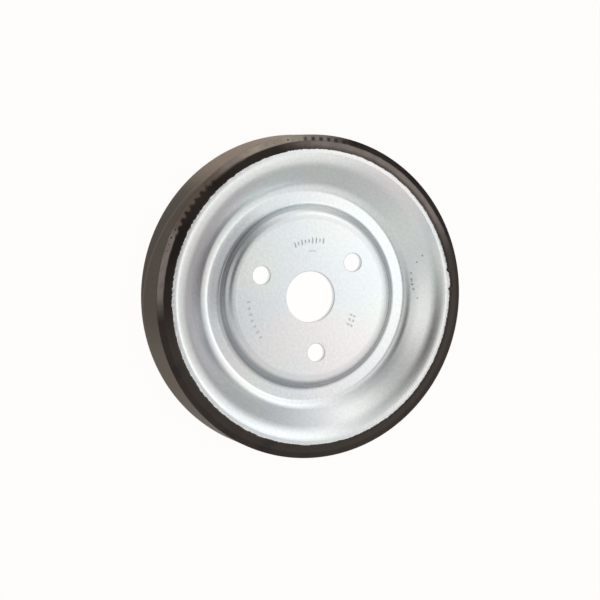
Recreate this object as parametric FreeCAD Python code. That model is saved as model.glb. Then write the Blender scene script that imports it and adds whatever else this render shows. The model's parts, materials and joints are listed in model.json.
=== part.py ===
import FreeCAD
import Part

import math
import os

# Water pump pulley for a friction drive: a zinc-plated steel disc, pressed from one sheet,
# with a rubber tread moulded on to its drum. Millimetres and degrees.
# The origin is the centre of the bore on the hub's rear face, and +Z points out of the front.

# Steel sheet
sheet_thickness = 2.0
cut_edge_round = 0.3

# Hub, with its bore and its bolt holes
bore_radius = 9.5
bolt_hole_count = 3
bolt_hole_radius = 3.4
bolt_circle_radius = 21.0
first_bolt_hole_angle = 36.3
hub_rise = 4.0
hub_wall_angle = 60.0

# Channel round the hub, then the cone, the flange and the drum
channel_width = 6.35
cone_angle = 37.9
flange_angle = 21.0
flange_width = 7.0
rim_height = 6.1
drum_back_depth = 17.1

# Bends of the sheet, each measured on its inside
hub_corner_bend = 3.0
hub_foot_bend = 1.4
channel_foot_bend = 5.5
cone_top_bend = 11.0
rim_bend = 1.4

# Tread, whose lip laps over the rim from the drum's outside and starts as a low bead
tread_radius = 60.0
tread_thickness = 3.2
tread_back_inset = 0.5
tread_back_chamfer = 0.6
lip_overlap = 2.1
lip_flank_angle = 32.0
bead_width = 0.7
lip_width = 3.1
lip_angle = 29.0
shoulder_angle = 20.0
rubber_round = 0.35

# Chip out of the tread's lip, which shows the steel
chip_angle = 5.4
chip_length = 6.4
chip_width = 1.1

NEAR_ZERO = 1e-6
ORIGIN = FreeCAD.Vector(0, 0, 0)
AXIS = FreeCAD.Vector(0, 0, 1)


def point(radius, height):
    """A point of a section, in the XZ plane."""
    return FreeCAD.Vector(radius, 0, height)


def direction(angle):
    """A unit vector in the XZ plane, at an angle above the outward radius."""
    turn = math.radians(angle)
    return point(math.cos(turn), math.sin(turn))


def crossing(first, first_angle, second, second_angle):
    """The point where two lines of a section cross, each given by a point and an angle."""
    along = direction(first_angle)
    other = direction(second_angle)
    gap = second - first
    distance = (gap.x * other.z - gap.z * other.x) / (along.x * other.z - along.z * other.x)
    return first + along * distance


def slope(start, end):
    """The angle of the line from one point of a section to the next."""
    return math.degrees(math.atan2(end.z - start.z, end.x - start.x))


def left_turn(before, corner, after):
    """How far a path turns to its left at a corner, in degrees, with X right and Z up."""
    turn = slope(corner, after) - slope(before, corner)
    return (turn + 180) % 360 - 180


def unit(vector):
    """The vector at a length of one."""
    return vector / vector.Length


def rounded_edges(corners, radii):
    """Edges of a path through the corners, with each inner corner rounded by its radius."""
    edges = []
    start = corners[0]
    for before, corner, after, radius in zip(corners, corners[1:], corners[2:], radii):
        turn = math.radians(abs(left_turn(before, corner, after)))
        if radius < NEAR_ZERO or turn < NEAR_ZERO:
            edges.append(Part.LineSegment(start, corner).toShape())
            start = corner
            continue
        back = unit(before - corner)
        ahead = unit(after - corner)
        reach = radius * math.tan(turn / 2)
        centre = corner + unit(back + ahead) * (radius / math.cos(turn / 2))
        arc_start = corner + back * reach
        arc_middle = centre + unit(corner - centre) * radius
        arc_end = corner + ahead * reach
        edges.append(Part.LineSegment(start, arc_start).toShape())
        edges.append(Part.Arc(arc_start, arc_middle, arc_end).toShape())
        start = arc_end
    edges.append(Part.LineSegment(start, corners[-1]).toShape())
    return edges


def shifted_right(corners, distance):
    """The corners of the path that runs beside another, on its right and a distance away."""
    angles = [slope(start, end) for start, end in zip(corners, corners[1:])]
    starts = [corner + direction(angle - 90) * distance for corner, angle in zip(corners, angles)]
    inner = [
        crossing(starts[i], angles[i], starts[i + 1], angles[i + 1])
        for i in range(len(angles) - 1)
    ]
    end = corners[-1] + direction(angles[-1] - 90) * distance
    return [starts[0]] + inner + [end]


def revolved(edges, angle=360):
    """The solid that a closed section sweeps round the axis."""
    return Part.Face(Part.Wire(edges)).revolve(ORIGIN, AXIS, angle)


def drum_radius():
    """The radius of the drum's outside, which the tread covers."""
    return tread_radius - tread_thickness


def rim_front_radius():
    """The radius of the rim's bend on the front of the sheet."""
    return rim_bend + sheet_thickness


def rim_bend_centre():
    """The centre of the bend between the flange and the drum, whose crest is the rim."""
    return point(drum_radius() - rim_front_radius(), rim_height - rim_front_radius())


def disc_front_corners():
    """The sharp corners of the disc's front surface, from the bore out and down the drum.

    The drum places the flange, the flange places the cone, and the cone places the channel,
    which leaves the rest to the hub.
    """
    hub_front = sheet_thickness
    channel_floor = hub_front - hub_rise
    flange_end = rim_bend_centre() + direction(flange_angle + 90) * rim_front_radius()
    rim_corner = crossing(flange_end, flange_angle, point(drum_radius(), 0), 90)
    cone_top = crossing(flange_end, flange_angle, point(drum_radius() - flange_width, 0), 90)
    cone_foot = crossing(cone_top, cone_angle, point(0, channel_floor), 0)
    hub_foot = cone_foot - point(channel_width, 0)
    hub_corner = crossing(hub_foot, -hub_wall_angle, point(0, hub_front), 0)
    return [
        point(bore_radius, hub_front),
        hub_corner,
        hub_foot,
        cone_foot,
        cone_top,
        rim_corner,
        point(drum_radius(), -drum_back_depth),
    ]


def bend_radii(corners):
    """The front and the rear radius of each bend: its inside radius, and that plus the sheet."""
    inside_radii = [hub_corner_bend, hub_foot_bend, channel_foot_bend, cone_top_bend, rim_bend]
    front = []
    rear = []
    for before, corner, after, radius in zip(corners, corners[1:], corners[2:], inside_radii):
        front_is_inside = left_turn(before, corner, after) > 0
        front.append(radius if front_is_inside else radius + sheet_thickness)
        rear.append(radius + sheet_thickness if front_is_inside else radius)
    return front, rear


def disc_blank():
    """The pressed sheet before its holes are punched."""
    front = disc_front_corners()
    rear = shifted_right(front, sheet_thickness)
    front_radii, rear_radii = bend_radii(front)
    drum_edge_radii = [cut_edge_round, cut_edge_round]
    section = rounded_edges(
        front + rear[::-1],
        front_radii + drum_edge_radii + rear_radii[::-1],
    )
    bore_edge = Part.LineSegment(rear[0], front[0]).toShape()
    return revolved(section + [bore_edge])


def bolt_hole_centres():
    """The centres of the bolt holes, on the hub's rear face."""
    turns = [
        math.radians(first_bolt_hole_angle + index * 360 / bolt_hole_count)
        for index in range(bolt_hole_count)
    ]
    return [FreeCAD.Vector(math.cos(t), math.sin(t), 0) * bolt_circle_radius for t in turns]


def front_hole_edges(disc):
    """The edges of the bore and of the bolt holes on the hub's front face."""
    return [
        edge
        for edge in disc.Edges
        if isinstance(edge.Curve, Part.Circle)
        and abs(edge.Curve.Center.z - sheet_thickness) < NEAR_ZERO
        and edge.BoundBox.XLength < 2 * bore_radius + NEAR_ZERO
    ]


def pressed_steel_disc():
    """The disc: hub, channel, cone, flange and drum, pressed from one sheet."""
    punches = [
        Part.makeCylinder(bolt_hole_radius, sheet_thickness, centre)
        for centre in bolt_hole_centres()
    ]
    punched = disc_blank().cut(punches)
    return punched.makeFillet(cut_edge_round, front_hole_edges(punched))


def lip_inner_radius():
    """The radius at which the tread's lip ends."""
    return drum_radius() - lip_overlap


def lip_seat():
    """The point on the rim's bend where the tread's lip ends."""
    centre = rim_bend_centre()
    sideways = lip_inner_radius() - centre.x
    return point(lip_inner_radius(), centre.z + math.sqrt(rim_front_radius() ** 2 - sideways ** 2))


def tread_ring():
    """The tread before it was chipped: it covers the drum and laps over the rim as a low bead."""
    seat = lip_seat()
    crest = crossing(seat, lip_flank_angle, point(seat.x + bead_width, 0), 90)
    lip_corner = crossing(crest, -lip_angle, point(seat.x + lip_width, 0), 90)
    shoulder = crossing(lip_corner, -shoulder_angle, point(tread_radius, 0), 90)
    tread_back = tread_back_inset - drum_back_depth
    outside = rounded_edges(
        [
            seat,
            crest,
            lip_corner,
            shoulder,
            point(tread_radius, tread_back + tread_back_chamfer),
            point(tread_radius - tread_back_chamfer, tread_back),
            point(drum_radius(), tread_back),
        ],
        [rubber_round] * 5,
    )
    centre = rim_bend_centre()
    bend_end = point(drum_radius(), centre.z)
    bend_middle = centre + unit(seat + bend_end - centre * 2) * rim_front_radius()
    inside = [
        Part.LineSegment(point(drum_radius(), tread_back), bend_end).toShape(),
        Part.Arc(bend_end, bend_middle, seat).toShape(),
    ]
    return revolved(outside + inside)


def chip():
    """The piece missing from the lip: a short stretch of a ring that reaches down to the steel."""
    turn = math.degrees(chip_length / lip_inner_radius())
    inner = lip_inner_radius() - chip_width
    outer = lip_inner_radius() + chip_width
    low = rim_bend_centre().z
    high = rim_height + sheet_thickness
    corners = [point(inner, low), point(outer, low), point(outer, high), point(inner, high)]
    stretch = revolved(rounded_edges(corners + corners[:1], [0, 0, 0]), turn)
    stretch.rotate(ORIGIN, AXIS, chip_angle - turn / 2)
    return stretch


def rubber_tread():
    """The tread as it is now, with its chip."""
    return tread_ring().cut(chip())


os.makedirs("parts", exist_ok=True)
pressed_steel_disc().exportStep("parts/pressed_steel_disc.step")
rubber_tread().exportStep("parts/rubber_tread.step")
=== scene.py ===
import json
import logging
import math
from collections.abc import Mapping, Sequence
from dataclasses import dataclass
from enum import Enum
from typing import Any

import bmesh
import bpy
import numpy as np
from mathutils import Matrix, Vector


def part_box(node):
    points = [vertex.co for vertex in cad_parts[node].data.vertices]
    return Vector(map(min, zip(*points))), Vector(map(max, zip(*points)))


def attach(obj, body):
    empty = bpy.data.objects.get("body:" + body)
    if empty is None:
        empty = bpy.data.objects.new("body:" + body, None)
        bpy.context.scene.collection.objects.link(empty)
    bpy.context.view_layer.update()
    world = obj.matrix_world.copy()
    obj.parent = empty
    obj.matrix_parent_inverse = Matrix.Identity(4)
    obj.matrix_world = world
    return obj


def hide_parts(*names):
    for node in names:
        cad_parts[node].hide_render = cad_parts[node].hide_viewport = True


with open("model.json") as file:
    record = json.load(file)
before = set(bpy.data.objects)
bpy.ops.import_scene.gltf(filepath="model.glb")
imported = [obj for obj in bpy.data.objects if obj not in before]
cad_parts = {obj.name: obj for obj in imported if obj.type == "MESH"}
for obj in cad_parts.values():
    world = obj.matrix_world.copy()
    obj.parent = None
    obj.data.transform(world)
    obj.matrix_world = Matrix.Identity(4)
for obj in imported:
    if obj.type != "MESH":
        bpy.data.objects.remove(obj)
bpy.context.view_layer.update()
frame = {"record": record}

log = logging.getLogger("pulley")

MILLIMETRE = 0.001
BODY = "root"
DISC_NODE = "pressed_steel_disc"
TREAD_NODE = "rubber_tread"
NEAR_ZERO = 1e-6

Colour = tuple[float, float, float]
Corner = tuple[float, float]
Limits = tuple[float, float]
# A stretch of a ring: its middle angle, the angle to each side up to which it is whole, and the
# angle at which it has faded, all in degrees.
Span = tuple[float, float, float]
WHITE: Colour = (1.0, 1.0, 1.0)


def mount(name: str) -> dict[str, Any]:
    """Finds one of the part's mounts.

    Args:
        name: The mount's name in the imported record.

    Returns:
        The mount as the record holds it, with its sizes in millimetres under "dims".
    """
    return next(entry for entry in frame["record"]["mounts"] if entry["name"] == name)


def node_reach(node: str) -> tuple[float, float, float]:
    """Measures a CAD node that is round about the axis.

    Args:
        node: The node's name.

    Returns:
        Its outer radius, its lowest height and its highest height, in millimetres.
    """
    low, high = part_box(node)
    return max(high.x, high.y, -low.x, -low.y) / MILLIMETRE, low.z / MILLIMETRE, high.z / MILLIMETRE


# Sections


def heading(angle: float) -> np.ndarray:
    """The unit step of a section at an angle above the outward radius, in degrees."""
    return np.array([math.cos(math.radians(angle)), math.sin(math.radians(angle))])


def crossing(
    first: Sequence[float], first_angle: float, second: Sequence[float], second_angle: float
) -> Corner:
    """Finds where two lines of a section cross.

    Args:
        first: A point of the first line, as radius and height.
        first_angle: The first line's angle above the outward radius, in degrees.
        second: A point of the second line.
        second_angle: The second line's angle.

    Returns:
        The point on both lines.
    """
    steps = np.column_stack([heading(first_angle), -heading(second_angle)])
    share = np.linalg.solve(steps, np.subtract(second, first))[0]
    return tuple(np.asarray(first) + share * heading(first_angle))


def slope(start: Sequence[float], end: Sequence[float]) -> float:
    """The angle of the line from start to end above the outward radius, in degrees."""
    return math.degrees(math.atan2(end[1] - start[1], end[0] - start[0]))


def turn_at(before: Sequence[float], corner: Sequence[float], after: Sequence[float]) -> float:
    """How far a path turns to its left at a corner, in degrees."""
    return (slope(corner, after) - slope(before, corner) + 180) % 360 - 180


def shifted_right(corners: Sequence[Corner], distance: float) -> list[Corner]:
    """Moves a path sideways.

    Each straight run moves to its right by the distance, and neighbours are cut where they cross.

    Args:
        corners: The path's corners.
        distance: How far it moves.

    Returns:
        The corners of the moved path.
    """
    angles = [slope(start, end) for start, end in zip(corners, corners[1:])]
    starts = [corner + distance * heading(angle - 90) for corner, angle in zip(corners, angles)]
    runs = list(zip(starts, angles))
    inner = [crossing(*here, *following) for here, following in zip(runs, runs[1:])]
    return [tuple(starts[0]), *inner, tuple(corners[-1] + distance * heading(angles[-1] - 90))]


@dataclass(frozen=True)
class RoundedLoop:
    """A closed section with rounded corners, in millimetres.

    Attributes:
        corners: The sharp corners, in order.
        radii: The radius of each corner.
        arc_step: The most degrees between two points of an arc.
        run_step: The most millimetres between two points of a straight run.
        margin: How far from each end a straight run has a further point, which keeps it flat.
        run_limit: The most points of a straight run.
    """

    corners: Sequence[Corner]
    radii: Sequence[float]
    arc_step: float = 8.0
    run_step: float = 3.0
    margin: float = 0.25
    run_limit: int = 40

    def arc(self, index: int) -> np.ndarray:
        """Rounds one corner.

        The arc's centre lies on the line that halves the corner, at the radius over the cosine of
        half the turn, and the arc touches both runs at the radius times the tangent of half the turn.

        Args:
            index: Which corner.

        Returns:
            The arc's points, or the corner alone where its radius is nothing.
        """
        before = np.asarray(self.corners[index - 1], float)
        corner = np.asarray(self.corners[index], float)
        after = np.asarray(self.corners[(index + 1) % len(self.corners)], float)
        turn = turn_at(before, corner, after)
        radius = self.radii[index]
        if radius <= 0 or abs(turn) < NEAR_ZERO:
            return corner[None]
        side = math.copysign(1.0, turn)
        start_angle = slope(before, corner) - 90 * side
        touch = corner - radius * math.tan(math.radians(abs(turn) / 2)) * heading(slope(before, corner))
        centre = touch - radius * heading(start_angle)
        count = max(3, math.ceil(abs(turn) / self.arc_step) + 1)
        angles = np.radians(start_angle + np.linspace(0, turn, count))
        return centre + radius * np.column_stack([np.cos(angles), np.sin(angles)])

    def run(self, start: np.ndarray, end: np.ndarray) -> np.ndarray:
        """Divides the straight run between two arcs.

        Args:
            start: The last point of the arc before it.
            end: The first point of the arc after it.

        Returns:
            The points between the two, without them.
        """
        length = float(np.linalg.norm(end - start))
        if length < 3 * self.margin:
            return np.empty((0, 2))
        edge = self.margin / length
        count = min(max(2, math.ceil(length / self.run_step) + 1), self.run_limit)
        inner = np.linspace(edge, 1 - edge, count)
        return start + inner[:, None] * (end - start)

    def points(self) -> np.ndarray:
        """The whole loop as an array of radius and height, starting at the first corner."""
        arcs = [self.arc(index) for index in range(len(self.corners))]
        stretches = []
        for here, following in zip(arcs, arcs[1:] + arcs[:1]):
            stretches += [here, self.run(here[-1], following[0])]
        return np.concatenate(stretches)


# Meshes


@dataclass
class Surface:
    """The points and faces of a closed surface, in millimetres.

    Attributes:
        points: One row for each point.
        faces: One row of point numbers for each face, each row equally long.
    """

    points: np.ndarray
    faces: np.ndarray

    def volume(self) -> float:
        """The space inside: each face's fan of triangles adds a sixth of its triple product."""
        corners = self.points[self.faces]
        first = corners[:, 0]
        total = 0.0
        for index in range(1, self.faces.shape[1] - 1):
            crossed = np.cross(corners[:, index], corners[:, index + 1])
            total += float(np.einsum("ij,ij->", first, crossed)) / 6
        return total

    def facing_out(self) -> "Surface":
        """The same surface with its faces turned so that they point outwards."""
        return self if self.volume() > 0 else Surface(self.points, self.faces[:, ::-1])

    def moved(self, offset: Sequence[float], turn: float = 0.0) -> "Surface":
        """Turns the surface about its own Z axis, and then moves it.

        Args:
            offset: How far it moves.
            turn: The angle that it turns by, in degrees.

        Returns:
            The moved surface.
        """
        spin = np.array(Matrix.Rotation(math.radians(turn), 3, "Z"))
        return Surface(self.points @ spin.T + np.asarray(offset), self.faces)

    def mesh(self, name: str) -> bpy.types.Mesh:
        """Writes the surface into a Blender mesh, in metres.

        Args:
            name: The mesh's name.

        Returns:
            The new mesh, smooth all over.
        """
        mesh = bpy.data.meshes.new(name)
        count, sides = self.faces.shape
        mesh.vertices.add(len(self.points))
        mesh.vertices.foreach_set("co", (self.points * MILLIMETRE).astype(np.float32).ravel())
        mesh.loops.add(count * sides)
        mesh.loops.foreach_set("vertex_index", self.faces.astype(np.int32).ravel())
        mesh.polygons.add(count)
        mesh.polygons.foreach_set("loop_start", np.arange(0, count * sides, sides, dtype=np.int32))
        mesh.update(calc_edges=True)
        mesh.validate()
        mesh.shade_smooth()
        return mesh


def ring(radius: np.ndarray, height: np.ndarray) -> Surface:
    """Carries a closed section round the axis.

    The point at turn t and place s lies at (radius cos t, radius sin t, height), where the radius
    and the height may differ from turn to turn, and both directions close on themselves.

    Args:
        radius: One row for each turn and one column for each place along the section.
        height: The same for the height.

    Returns:
        The surface, facing outwards.
    """
    turns, places = radius.shape
    angle = np.linspace(0, 2 * np.pi, turns, endpoint=False)[:, None]
    points = np.stack([radius * np.cos(angle), radius * np.sin(angle), height], axis=-1)
    here = np.arange(turns)[:, None] * places
    onward = (here + places) % (turns * places)
    place = np.arange(places)[None, :]
    following = (place + 1) % places
    corners = [here + place, onward + place, onward + following, here + following]
    faces = np.stack(corners, axis=-1)
    return Surface(points.reshape(-1, 3), faces.reshape(-1, 4)).facing_out()


def spindle(profile: Sequence[Corner], turns: int) -> Surface:
    """Turns an open profile round its own axis and closes both ends with a point on the axis.

    Args:
        profile: Radii and heights, from the bottom up.
        turns: How many points each ring has.

    Returns:
        The surface in triangles, facing outwards.
    """
    outline = np.asarray(profile, float)
    angle = np.linspace(0, 2 * np.pi, turns, endpoint=False)
    rings = np.stack([
        outline[:, :1] * np.cos(angle),
        outline[:, :1] * np.sin(angle),
        np.broadcast_to(outline[:, 1:], (len(outline), turns)),
    ], axis=-1).reshape(-1, 3)
    ends = np.array([[0, 0, outline[0, 1]], [0, 0, outline[-1, 1]]])
    low_end, high_end = len(rings), len(rings) + 1
    level = np.arange(len(outline) - 1)[:, None] * turns
    here = level + np.arange(turns)
    onward = level + (np.arange(turns) + 1) % turns
    walls = [
        np.stack([here, onward, onward + turns], -1),
        np.stack([here, onward + turns, here + turns], -1),
    ]
    rim = np.arange(turns)
    next_rim = (rim + 1) % turns
    top = (len(outline) - 1) * turns
    caps = [
        np.stack([next_rim, rim, np.full(turns, low_end)], -1),
        np.stack([top + rim, top + next_rim, np.full(turns, high_end)], -1),
    ]
    faces = np.concatenate([face.reshape(-1, 3) for face in walls + caps])
    return Surface(np.concatenate([rings, ends]), faces).facing_out()


def joined(surfaces: Sequence[Surface]) -> Surface:
    """Puts several surfaces with equally long faces into one."""
    starts = np.cumsum([0] + [len(surface.points) for surface in surfaces[:-1]])
    points = np.concatenate([surface.points for surface in surfaces])
    return Surface(points, np.concatenate([s.faces + start for s, start in zip(surfaces, starts)]))


def periodic_noise(angle: np.ndarray, cells: int, seed: int, jitter: float = 0.3) -> np.ndarray:
    """Draws an uneven line round the axis.

    Random heights stand at nearly even angles, straight lines join them, and the last meets the first.

    Args:
        angle: The angles to read it at, in radians.
        cells: How many heights there are in a turn.
        seed: What the random draws start from.
        jitter: How far each may stand off its even place, as a share of the spacing.

    Returns:
        The line's height at each angle, from -1 to 1.
    """
    draws = np.random.default_rng(seed)
    places = (np.arange(cells) + draws.uniform(-jitter, jitter, cells)) * 2 * np.pi / cells
    return np.interp(angle, places, draws.uniform(-1, 1, cells), period=2 * np.pi)


def bump_window(value: np.ndarray, centre: float, half_width: float) -> np.ndarray:
    """A smooth hill: one at its centre, and half a cosine wave down to nothing at each side."""
    reach = np.clip(np.abs(value - centre) / half_width, 0, 1)
    return 0.5 * (1 + np.cos(np.pi * reach))


# Materials


class Signal:
    """A number, colour or vector on its way through a material, which Python expressions can use."""

    def __init__(self, sheet: "NodeSheet", socket: bpy.types.NodeSocket) -> None:
        """Wraps an output socket of a node on the sheet."""
        self.sheet = sheet
        self.socket = socket

    def _math(self, operation: str, first: Any, second: Any) -> "Signal":
        """Adds a Math node on two values."""
        return self.sheet.math(operation, first, second)

    def __add__(self, other: Any) -> "Signal":
        """This plus the other."""
        return self._math("ADD", self, other)

    __radd__ = __add__

    def __sub__(self, other: Any) -> "Signal":
        """This less the other."""
        return self._math("SUBTRACT", self, other)

    def __rsub__(self, other: Any) -> "Signal":
        """The other less this."""
        return self._math("SUBTRACT", other, self)

    def __mul__(self, other: Any) -> "Signal":
        """This times the other."""
        return self._math("MULTIPLY", self, other)

    __rmul__ = __mul__

    def __truediv__(self, other: Any) -> "Signal":
        """This over the other."""
        return self._math("DIVIDE", self, other)

    def __pow__(self, other: Any) -> "Signal":
        """This to the power of the other."""
        return self._math("POWER", self, other)

    def smooth(self, low: float, high: float) -> "Signal":
        """Eases from nothing to one.

        Args:
            low: The value up to which it is nothing.
            high: The value from which it is one. It may be less than low.

        Returns:
            The eased value.
        """
        start = 0.0 if low < high else 1.0
        sockets = {0: self, 1: min(low, high), 2: max(low, high), 3: start, 4: 1.0 - start}
        return self.sheet.node("ShaderNodeMapRange", {"interpolation_type": "SMOOTHSTEP"}, sockets)

    def smooth_mm(self, low: float, high: float) -> "Signal":
        """Eases a length in metres in the same way, between two lengths in millimetres."""
        return self.smooth(low * MILLIMETRE, high * MILLIMETRE)

    def band(self, limits: Limits, soft: float) -> "Signal":
        """One between two lengths and nothing outside them, with soft edges, all in millimetres."""
        low, high = limits
        return self.smooth_mm(low - soft, low + soft) * self.smooth_mm(high + soft, high - soft)

    def spread(self, low: float, high: float) -> "Signal":
        """Stretches a value from 0 to 1 so that it runs from low to high."""
        return self * (high - low) + low


class NodeSheet:
    """The nodes of one material or world."""

    def __init__(self, owner: bpy.types.Material | bpy.types.World) -> None:
        """Starts an empty sheet on a material or a world."""
        owner.use_nodes = True
        self.tree = owner.node_tree
        self.tree.nodes.clear()

    def math(self, operation: str, *values: Any) -> Signal:
        """Adds a Math node on one or two values."""
        return self.node("ShaderNodeMath", {"operation": operation}, dict(enumerate(values)))

    def node(
        self,
        kind: str,
        settings: Mapping[str, Any] | None = None,
        inputs: Mapping[str | int, Any] | None = None,
        output: str | int = 0,
    ) -> Signal:
        """Adds a node.

        Args:
            kind: The node's type.
            settings: Its own settings, which are set first.
            inputs: The value or the signal of each socket, by name or number.
            output: The socket that the signal comes from.

        Returns:
            The signal of that output.
        """
        made = self.tree.nodes.new(kind)
        for name, value in (settings or {}).items():
            setattr(made, name, value)
        for name, value in (inputs or {}).items():
            if isinstance(value, Signal):
                self.tree.links.new(value.socket, made.inputs[name])
            else:
                made.inputs[name].default_value = value
        return Signal(self, made.outputs[output]) if len(made.outputs) else Signal(self, None)

    def mix(self, first: Any, second: Any, share: Any) -> Signal:
        """Mixes two colours.

        Args:
            first: The colour at a share of nothing.
            second: The colour at a share of one.
            share: How much of the second there is.

        Returns:
            The mixed colour.
        """
        sockets = {0: share, 6: self._colour(first), 7: self._colour(second)}
        return self.node("ShaderNodeMix", {"data_type": "RGBA"}, sockets, 2)

    @staticmethod
    def _colour(value: Any) -> Any:
        """A colour as a socket takes it: a plain colour gets its fourth number."""
        return value if isinstance(value, Signal) else (*value, 1.0)

    def rays(self, *kinds: str) -> Signal:
        """One for rays of these kinds, each named as its socket is, and nothing for the others."""
        path = self.node("ShaderNodeLightPath").socket.node
        return sum((Signal(self, path.outputs[kind]) for kind in kinds), 0.0)

    def bump(
        self, height: Signal, depth: float, strength: float, below: Signal | None = None
    ) -> Signal:
        """Turns a height into a normal.

        Args:
            height: The height, from 0 to 1.
            depth: What a height of one stands for, in millimetres.
            strength: How much of it shows.
            below: The normal that it starts from, where another bump comes first.

        Returns:
            The normal.
        """
        inputs = {"Height": height, "Distance": depth * MILLIMETRE, "Strength": strength}
        if below is not None:
            inputs["Normal"] = below
        return self.node("ShaderNodeBump", inputs=inputs, output="Normal")

    def surface(self, **inputs: Any) -> None:
        """Adds the Principled shader and the output.

        Args:
            inputs: The shader's sockets, with underscores for the spaces of their names.
        """
        sockets = {name.replace("_", " "): value for name, value in inputs.items()}
        shader = self.node("ShaderNodeBsdfPrincipled", inputs=sockets)
        self.node("ShaderNodeOutputMaterial", inputs={"Surface": shader})


@dataclass(frozen=True)
class Grain:
    """Smooth noise on a surface.

    Attributes:
        size: The width of its larger features, in millimetres.
        detail: How many finer layers it has.
        rough: How strong the finer layers are.
        squeeze: How much finer it is along each axis.
    """

    size: float
    detail: float = 2.0
    rough: float = 0.5
    squeeze: tuple[float, float, float] | None = None


@dataclass(frozen=True)
class Speck:
    """A small spot on a surface.

    Attributes:
        angle: Its angle round the axis, in degrees.
        radius: How far it is from the axis, in millimetres.
        height: Its height, in millimetres.
        size: Its radius, in millimetres.
        core: The share of its radius in which it is whole.
    """

    angle: float
    radius: float
    height: float
    size: float
    core: float = 0.45

    def spot(self) -> Vector:
        """Where it is, in metres."""
        across, up = self.radius * heading(self.angle)
        return Vector((across, up, self.height)) * MILLIMETRE


class RingSheet(NodeSheet):
    """The nodes of a material on a piece that is round about the axis.

    It starts with where a point of the surface is, in the object's own coordinates and in metres:
    as a vector, as its three numbers and as its distance from the axis.
    """

    def __init__(self, name: str) -> None:
        """Starts a new material.

        Args:
            name: The material's name.
        """
        self.material = bpy.data.materials.new(name)
        super().__init__(self.material)
        self.place = self.node("ShaderNodeTexCoord", output="Object")
        split = self.node("ShaderNodeSeparateXYZ", inputs={0: self.place}).socket.node
        self.x, self.y, self.z = (Signal(self, output) for output in split.outputs)
        self.radius = (self.x * self.x + self.y * self.y) ** 0.5

    def noise(self, grain: Grain) -> Signal:
        """Adds smooth noise.

        Args:
            grain: What it is like.

        Returns:
            A value from about 0.2 to 0.8, with 0.5 in the middle.
        """
        place = self.place
        if grain.squeeze is not None:
            sockets = {0: place, 1: grain.squeeze}
            place = self.node("ShaderNodeVectorMath", {"operation": "MULTIPLY"}, sockets)
        inputs = {
            "Vector": place,
            "Scale": 1 / (grain.size * MILLIMETRE),
            "Detail": grain.detail,
            "Roughness": grain.rough,
        }
        return self.node("ShaderNodeTexNoise", {"normalize": True}, inputs, "Fac")

    def sector(self, span: Span) -> Signal:
        """Picks out a stretch of the ring.

        Args:
            span: The stretch.

        Returns:
            One inside the stretch and nothing outside it.
        """
        middle, whole, faded = (math.radians(angle) for angle in span)
        cosine = (self.x * math.cos(middle) + self.y * math.sin(middle)) / self.radius
        return cosine.smooth(math.cos(faded), math.cos(whole))

    def turned(self, middle: float) -> Signal:
        """Measures the angle round the axis.

        Args:
            middle: The angle that it is measured from, in degrees.

        Returns:
            The angle in degrees, up to half a turn to each side.
        """
        cosine, sine = heading(middle).tolist()
        across = self.y * cosine - self.x * sine
        along = self.x * cosine + self.y * sine
        return self.math("ARCTAN2", across, along) * math.degrees(1)

    def near(self, speck: Speck) -> Signal:
        """Picks out a speck.

        Args:
            speck: The speck.

        Returns:
            One in its core and nothing outside it.
        """
        sockets = {0: self.place, 1: tuple(speck.spot())}
        gap = self.node("ShaderNodeVectorMath", {"operation": "DISTANCE"}, sockets, "Value")
        return gap.smooth_mm(speck.size, speck.core * speck.size)

    def speckled(
        self, colour: Signal, specks: Sequence[Speck], tone: Colour, share: float = 1.0
    ) -> Signal:
        """Lays specks over a colour.

        Args:
            colour: The colour below.
            specks: The specks.
            tone: Their own colour.
            share: How strong they are.

        Returns:
            The colour with the specks on it.
        """
        return self.mix(colour, tone, sum((self.near(speck) for speck in specks), 0.0) * share)


@dataclass(frozen=True)
class PaintedShading:
    """A stretch of a ring on a surface that gets a colour of its own, which paints in shade where it is
    darker and a reflection where it is lighter.

    Attributes:
        radii: The least and the greatest radius of the ring, in millimetres.
        span: The stretch.
        colour: Its colour.
        share: How strong it is.
        soft: How far from each radius its edge begins and ends, in millimetres.
    """

    radii: Limits
    span: Span
    colour: Colour
    share: float = 0.8
    soft: float = 1.5

    def over(self, sheet: RingSheet, colour: Signal) -> Signal:
        """Lays the painted shading over a colour.

        Args:
            sheet: The material's nodes.
            colour: The colour below.

        Returns:
            The colour with the painted shading on it.
        """
        share = sheet.sector(self.span) * sheet.radius.band(self.radii, self.soft) * self.share
        return sheet.mix(colour, self.colour, share)


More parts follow.
